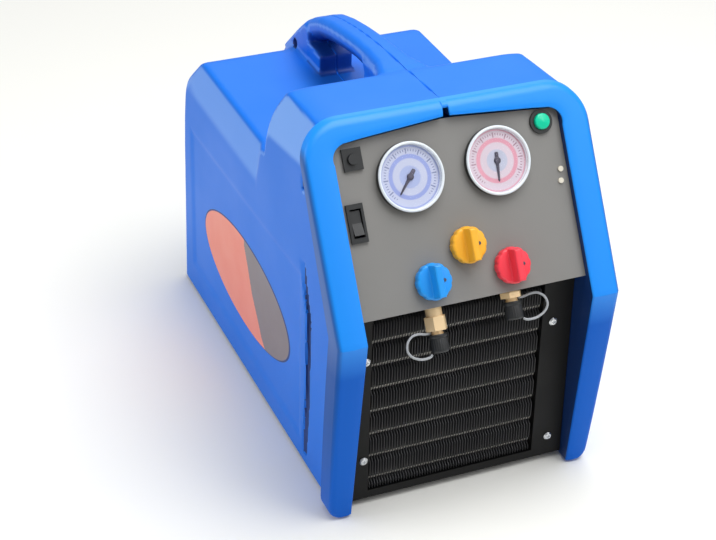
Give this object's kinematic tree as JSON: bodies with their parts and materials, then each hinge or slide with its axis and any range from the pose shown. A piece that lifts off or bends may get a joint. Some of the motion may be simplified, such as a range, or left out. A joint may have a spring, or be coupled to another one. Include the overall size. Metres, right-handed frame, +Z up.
{
  "type": "refrigerant recovery machine",
  "caption": "Portable refrigerant recovery machine: blue moulded shell with top handle, slanted gauge and valve panel, capped brass ports and finned condenser behind an open front.",
  "frame": {"origin": "centre of the bounding box on the floor, under the feet", "axes": "+Z up, +Y to the rear, -Y towards the panel, +X to the right as seen from the front"},
  "size_m": [0.264, 0.4589, 0.3584],
  "materials": {
    "blue_shell": "satin moulded plastic",
    "black_sheet": "black powder coat",
    "black_rubber": "matt",
    "label": "printed film, coral and grey",
    "grey_panel": "grey powder coat",
    "gauge_bezel": "satin white",
    "dial_blue": "printed white, pale blue scale",
    "dial_red": "printed white, pink scale",
    "pointer": "dark paint",
    "lens": "clear",
    "knob_blue": "satin gloss",
    "knob_yellow": "satin gloss",
    "knob_red": "satin gloss",
    "brass": "machined",
    "black_plastic": "satin",
    "strap_plastic": "soft",
    "green_plastic": "gloss",
    "lamp": "clear tinted",
    "fin_aluminium": "black coated",
    "copper": "copper tube",
    "fan_plastic": "grey",
    "motor_metal": "grey paint",
    "cast_aluminium": "cast",
    "screw_steel": "bright",
    "screw_black": "black oxide"
  },
  "bodies": {
    "machine": {"left_shell": "blue_shell", "right_shell": "blue_shell", "front_frame": "blue_shell", "base_tray": "black_sheet", "rubber_feet": "black_rubber", "side_label": "label", "control_panel": "grey_panel", "gauge_case_left": "gauge_bezel", "gauge_dial_left": "dial_blue", "gauge_lens_left": "lens", "gauge_case_right": "gauge_bezel", "gauge_dial_right": "dial_red", "gauge_lens_right": "lens", "valve_manifold": "brass", "port_left": "brass", "port_right": "brass", "strap_left": "strap_plastic", "strap_right": "strap_plastic", "rocker_housing": "black_plastic", "breaker_housing": "black_plastic", "button_housing": "black_plastic", "indicator_lamps": "lamp", "condenser_frame": "black_sheet", "condenser_fins": "fin_aluminium", "condenser_tubes": "copper", "fan_shroud": "black_sheet", "fan_motor": "motor_metal", "compressor_motor": "motor_metal", "compressor_crankcase": "cast_aluminium", "compressor_heads": "cast_aluminium", "compressor_mounts": "black_rubber", "capacitor": "cast_aluminium", "pipework": "copper", "power_inlet": "black_plastic", "condenser_screws": "screw_steel", "shell_screws": "screw_black"},
    "blue_knob": {"knob_blue": "knob_blue", "stem_blue": "brass"},
    "yellow_knob": {"knob_yellow": "knob_yellow", "stem_yellow": "brass"},
    "red_knob": {"knob_red": "knob_red", "stem_red": "brass"},
    "left_pointer": {"gauge_pointer_left": "pointer"},
    "right_pointer": {"gauge_pointer_right": "pointer"},
    "left_cap": {"cap_left": "black_plastic"},
    "right_cap": {"cap_right": "black_plastic"},
    "rocker": {"power_rocker": "black_plastic"},
    "reset_button": {"breaker_button": "black_plastic"},
    "start_button": {"green_button": "green_plastic"},
    "fan": {"fan_blades_hub": "fan_plastic"}
  },
  "joints": [
    {"name": "blue_valve_turn", "type": "hinge", "parent": "machine", "child": "blue_knob", "pos_m": [-0.037, -0.20782, 0.23327], "axis": [0, -0.8564, 0.5162], "range_deg": [0, 90]},
    {"name": "yellow_valve_turn", "type": "hinge", "parent": "machine", "child": "yellow_knob", "pos_m": [0, -0.19517, 0.25425], "axis": [0, -0.8564, 0.5162], "range_deg": [0, 90]},
    {"name": "red_valve_turn", "type": "hinge", "parent": "machine", "child": "red_knob", "pos_m": [0.037, -0.20782, 0.23327], "axis": [0, -0.8564, 0.5162], "range_deg": [0, 90]},
    {"name": "left_pointer_swing", "type": "hinge", "parent": "machine", "child": "left_pointer", "pos_m": [-0.0405, -0.16136, 0.31035], "axis": [0, 0.8564, -0.5162], "range_deg": [0, 250], "stiffness_Nm_per_rad": 0.001},
    {"name": "right_pointer_swing", "type": "hinge", "parent": "machine", "child": "right_pointer", "pos_m": [0.0405, -0.16136, 0.31035], "axis": [0, 0.8564, -0.5162], "range_deg": [0, 250], "stiffness_Nm_per_rad": 0.001},
    {"name": "left_cap_pull", "type": "slide", "parent": "machine", "child": "left_cap", "axis": [0, -0.5162, -0.8564], "range_m": [0, 0.014], "deforming": ["strap_left"]},
    {"name": "right_cap_pull", "type": "slide", "parent": "machine", "child": "right_cap", "axis": [0, -0.5162, -0.8564], "range_m": [0, 0.014], "deforming": ["strap_right"]},
    {"name": "power_rocker_tilt", "type": "hinge", "parent": "machine", "child": "rocker", "pos_m": [-0.094, -0.16965, 0.28032], "axis": [1, 0, 0], "range_deg": [0, 18]},
    {"name": "reset_pop", "type": "slide", "parent": "machine", "child": "reset_button", "axis": [0, -0.8564, 0.5162], "range_m": [0, 0.003]},
    {"name": "start_press", "type": "slide", "parent": "machine", "child": "start_button", "axis": [0, 0.8564, -0.5162], "range_m": [0, 0.0025], "stiffness_N_per_m": 400, "springref_m": -0.001},
    {"name": "fan_spin", "type": "hinge", "parent": "machine", "child": "fan", "pos_m": [-0.0055, -0.1335, 0.112], "axis": [0, 1, 0], "continuous": true}
  ]
}
